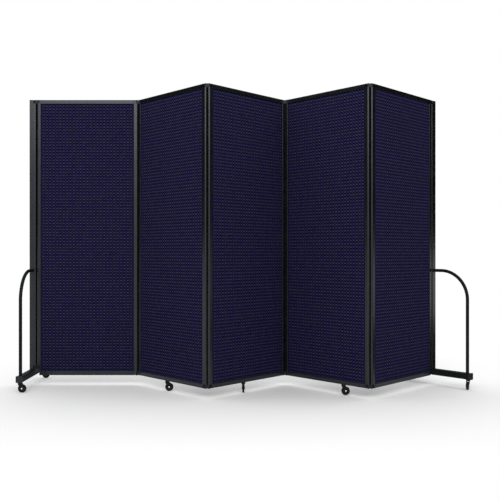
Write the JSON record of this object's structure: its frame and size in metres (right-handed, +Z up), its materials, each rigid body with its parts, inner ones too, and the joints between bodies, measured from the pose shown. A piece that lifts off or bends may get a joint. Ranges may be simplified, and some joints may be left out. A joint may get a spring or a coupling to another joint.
{
  "type": "folding partition",
  "caption": "Accordion room partition: fabric panels in slim dark frames, joined by folding hinges between hooped end frames, on swivel casters.",
  "frame": {"origin": "on the floor, under the middle of the box round the partition as it stands in the pictured zigzag", "axes": "+X along the row of panels, to the right as seen from the side that the near hinges point to; +Y away from that side; +Z up"},
  "size_m": [2.8016, 0.7216, 1.8305],
  "materials": {
    "frame_extrusion": "satin",
    "foot_tube": "satin",
    "hinge_bar": "matte",
    "plugs": "matte",
    "steel_pins": "satin",
    "core_board": "matte",
    "panel_fabric": "matte",
    "caster_fork": "satin",
    "caster_wheel": "matte"
  },
  "bodies": {
    "panel_1": {"panel_1_stiles": "frame_extrusion", "panel_1_rails": "frame_extrusion", "panel_1_board": "core_board", "panel_1_fabric": "panel_fabric"},
    "panel_2": {"panel_2_stiles": "frame_extrusion", "panel_2_rails": "frame_extrusion", "panel_2_board": "core_board", "panel_2_fabric": "panel_fabric"},
    "panel_3": {"panel_3_stiles": "frame_extrusion", "panel_3_rails": "frame_extrusion", "panel_3_board": "core_board", "panel_3_fabric": "panel_fabric"},
    "panel_4": {"panel_4_stiles": "frame_extrusion", "panel_4_rails": "frame_extrusion", "panel_4_board": "core_board", "panel_4_fabric": "panel_fabric"},
    "panel_5": {"panel_5_stiles": "frame_extrusion", "panel_5_rails": "frame_extrusion", "panel_5_board": "core_board", "panel_5_fabric": "panel_fabric"},
    "hinge_left_bar": {"hinge_left": "hinge_bar", "hinge_left_pins": "steel_pins"},
    "hinge_12_bar": {"hinge_12": "hinge_bar", "hinge_12_pins": "steel_pins"},
    "hinge_23_bar": {"hinge_23": "hinge_bar", "hinge_23_pins": "steel_pins"},
    "hinge_34_bar": {"hinge_34": "hinge_bar", "hinge_34_pins": "steel_pins"},
    "hinge_45_bar": {"hinge_45": "hinge_bar", "hinge_45_pins": "steel_pins"},
    "hinge_right_bar": {"hinge_right": "hinge_bar", "hinge_right_pins": "steel_pins"},
    "left_end": {"left_post": "frame_extrusion", "left_post_cap": "plugs", "left_foot": "foot_tube", "left_foot_caps": "plugs", "left_hoop": "foot_tube", "left_bolts": "steel_pins"},
    "right_end": {"right_post": "frame_extrusion", "right_post_cap": "plugs", "right_foot": "foot_tube", "right_foot_caps": "plugs", "right_hoop": "foot_tube", "right_bolts": "steel_pins"},
    "swivel_panel_2": {"caster_panel_2_fork": "caster_fork"},
    "wheel_panel_2": {"caster_panel_2_wheel": "caster_wheel"},
    "swivel_panel_3": {"caster_panel_3_fork": "caster_fork"},
    "wheel_panel_3": {"caster_panel_3_wheel": "caster_wheel"},
    "swivel_panel_4": {"caster_panel_4_fork": "caster_fork"},
    "wheel_panel_4": {"caster_panel_4_wheel": "caster_wheel"},
    "swivel_left_front": {"caster_left_front_fork": "caster_fork"},
    "wheel_left_front": {"caster_left_front_wheel": "caster_wheel"},
    "swivel_left_rear": {"caster_left_rear_fork": "caster_fork"},
    "wheel_left_rear": {"caster_left_rear_wheel": "caster_wheel"},
    "swivel_right_front": {"caster_right_front_fork": "caster_fork"},
    "wheel_right_front": {"caster_right_front_wheel": "caster_wheel"},
    "swivel_right_rear": {"caster_right_rear_fork": "caster_fork"},
    "wheel_right_rear": {"caster_right_rear_wheel": "caster_wheel"}
  },
  "joints": [
    {"name": "fold_left", "type": "hinge", "parent": "hinge_34_bar", "child": "panel_3", "pos_m": [0.22849, 0.09079, 0.9], "axis": [0, 0, 1], "range_deg": [-44.5, 45.5]},
    {"name": "fold_23_bar", "type": "hinge", "parent": "panel_3", "child": "hinge_23_bar", "pos_m": [-0.22086, -0.35079, 0.9], "axis": [0, 0, -1], "range_deg": [-44.5, 45.5]},
    {"name": "fold_23_panel_2", "type": "hinge", "parent": "hinge_23_bar", "child": "panel_2", "pos_m": [-0.24286, -0.35079, 0.9], "axis": [0, 0, -1], "range_deg": [-44.5, 45.5]},
    {"name": "fold_12_bar", "type": "hinge", "parent": "panel_2", "child": "hinge_12_bar", "pos_m": [-0.6922, 0.09079, 0.9], "axis": [0, 0, 1], "range_deg": [-44.5, 45.5]},
    {"name": "panel_1_swing", "type": "hinge", "parent": "hinge_12_bar", "child": "panel_1", "pos_m": [-0.7142, 0.09079, 0.9], "axis": [0, 0, 1], "range_deg": [0, 90]},
    {"name": "left_end_swing", "type": "hinge", "parent": "panel_1", "child": "hinge_left_bar", "pos_m": [-1.3442, 0.09079, 0.9], "axis": [0, 0, -1], "range_deg": [-44, 44]},
    {"name": "left_end_follow", "type": "hinge", "parent": "hinge_left_bar", "child": "left_end", "pos_m": [-1.3662, 0.09079, 0.9], "axis": [0, 0, -1], "range_deg": [-44, 44]},
    {"name": "fold_right", "type": "hinge", "parent": "hinge_34_bar", "child": "panel_4", "pos_m": [0.25049, 0.09079, 0.9], "axis": [0, 0, -1], "range_deg": [-44.5, 45.5]},
    {"name": "fold_45_bar", "type": "hinge", "parent": "panel_4", "child": "hinge_45_bar", "pos_m": [0.69984, -0.35079, 0.9], "axis": [0, 0, 1], "range_deg": [-44.5, 45.5]},
    {"name": "fold_45_panel_5", "type": "hinge", "parent": "hinge_45_bar", "child": "panel_5", "pos_m": [0.72184, -0.35079, 0.9], "axis": [0, 0, 1], "range_deg": [-44.5, 45.5]},
    {"name": "right_end_swing", "type": "hinge", "parent": "panel_5", "child": "hinge_right_bar", "pos_m": [1.17119, 0.09079, 0.9], "axis": [0, 0, -1], "range_deg": [-44, 44]},
    {"name": "right_end_follow", "type": "hinge", "parent": "hinge_right_bar", "child": "right_end", "pos_m": [1.18688, 0.10621, 0.9], "axis": [0, 0, -1], "range_deg": [-44, 44]},
    {"name": "swivel_panel_2_turn", "type": "hinge", "parent": "panel_2", "child": "swivel_panel_2", "pos_m": [-0.49249, -0.10547, 0.063], "axis": [0, 0, 1], "continuous": true},
    {"name": "wheel_panel_2_roll", "type": "hinge", "parent": "swivel_panel_2", "child": "wheel_panel_2", "pos_m": [-0.48049, -0.10547, 0.025], "axis": [0, 1, 0], "continuous": true},
    {"name": "swivel_panel_3_turn", "type": "hinge", "parent": "panel_3", "child": "swivel_panel_3", "pos_m": [-0.02542, -0.15874, 0.063], "axis": [0, 0, 1], "continuous": true},
    {"name": "wheel_panel_3_roll", "type": "hinge", "parent": "swivel_panel_3", "child": "wheel_panel_3", "pos_m": [-0.02542, -0.14674, 0.025], "axis": [-1, 0, 0], "continuous": true},
    {"name": "swivel_panel_4_turn", "type": "hinge", "parent": "panel_4", "child": "swivel_panel_4", "pos_m": [0.57431, -0.22743, 0.063], "axis": [0, 0, 1], "continuous": true},
    {"name": "wheel_panel_4_roll", "type": "hinge", "parent": "swivel_panel_4", "child": "wheel_panel_4", "pos_m": [0.58631, -0.22743, 0.025], "axis": [0, 1, 0], "continuous": true},
    {"name": "swivel_left_front_turn", "type": "hinge", "parent": "left_end", "child": "swivel_left_front", "pos_m": [-1.3802, -0.15621, 0.063], "axis": [0, 0, 1], "continuous": true},
    {"name": "wheel_left_front_roll", "type": "hinge", "parent": "swivel_left_front", "child": "wheel_left_front", "pos_m": [-1.3682, -0.15621, 0.025], "axis": [0, 1, 0], "continuous": true},
    {"name": "swivel_left_rear_turn", "type": "hinge", "parent": "left_end", "child": "swivel_left_rear", "pos_m": [-1.3802, 0.33779, 0.063], "axis": [0, 0, 1], "continuous": true},
    {"name": "wheel_left_rear_roll", "type": "hinge", "parent": "swivel_left_rear", "child": "wheel_left_rear", "pos_m": [-1.3682, 0.33779, 0.025], "axis": [0, 1, 0], "continuous": true},
    {"name": "swivel_right_front_turn", "type": "hinge", "parent": "right_end", "child": "swivel_right_front", "pos_m": [1.36999, -0.06015, 0.063], "axis": [0, 0, 1], "continuous": true},
    {"name": "wheel_right_front_roll", "type": "hinge", "parent": "swivel_right_front", "child": "wheel_right_front", "pos_m": [1.36399, -0.07055, 0.025], "axis": [0.866, -0.5, 0], "continuous": true},
    {"name": "swivel_right_rear_turn", "type": "hinge", "parent": "right_end", "child": "swivel_right_rear", "pos_m": [1.02374, 0.29219, 0.063], "axis": [0, 0, 1], "continuous": true},
    {"name": "wheel_right_rear_roll", "type": "hinge", "parent": "swivel_right_rear", "child": "wheel_right_rear", "pos_m": [1.01774, 0.2818, 0.025], "axis": [0.866, -0.5, 0], "continuous": true}
  ],
  "couplings": [
    {"joint": "fold_23_panel_2", "follows": "fold_left", "ratio": 1},
    {"joint": "fold_45_panel_5", "follows": "fold_right", "ratio": 1},
    {"joint": "left_end_follow", "follows": "left_end_swing", "ratio": 1},
    {"joint": "right_end_follow", "follows": "right_end_swing", "ratio": 1}
  ]
}
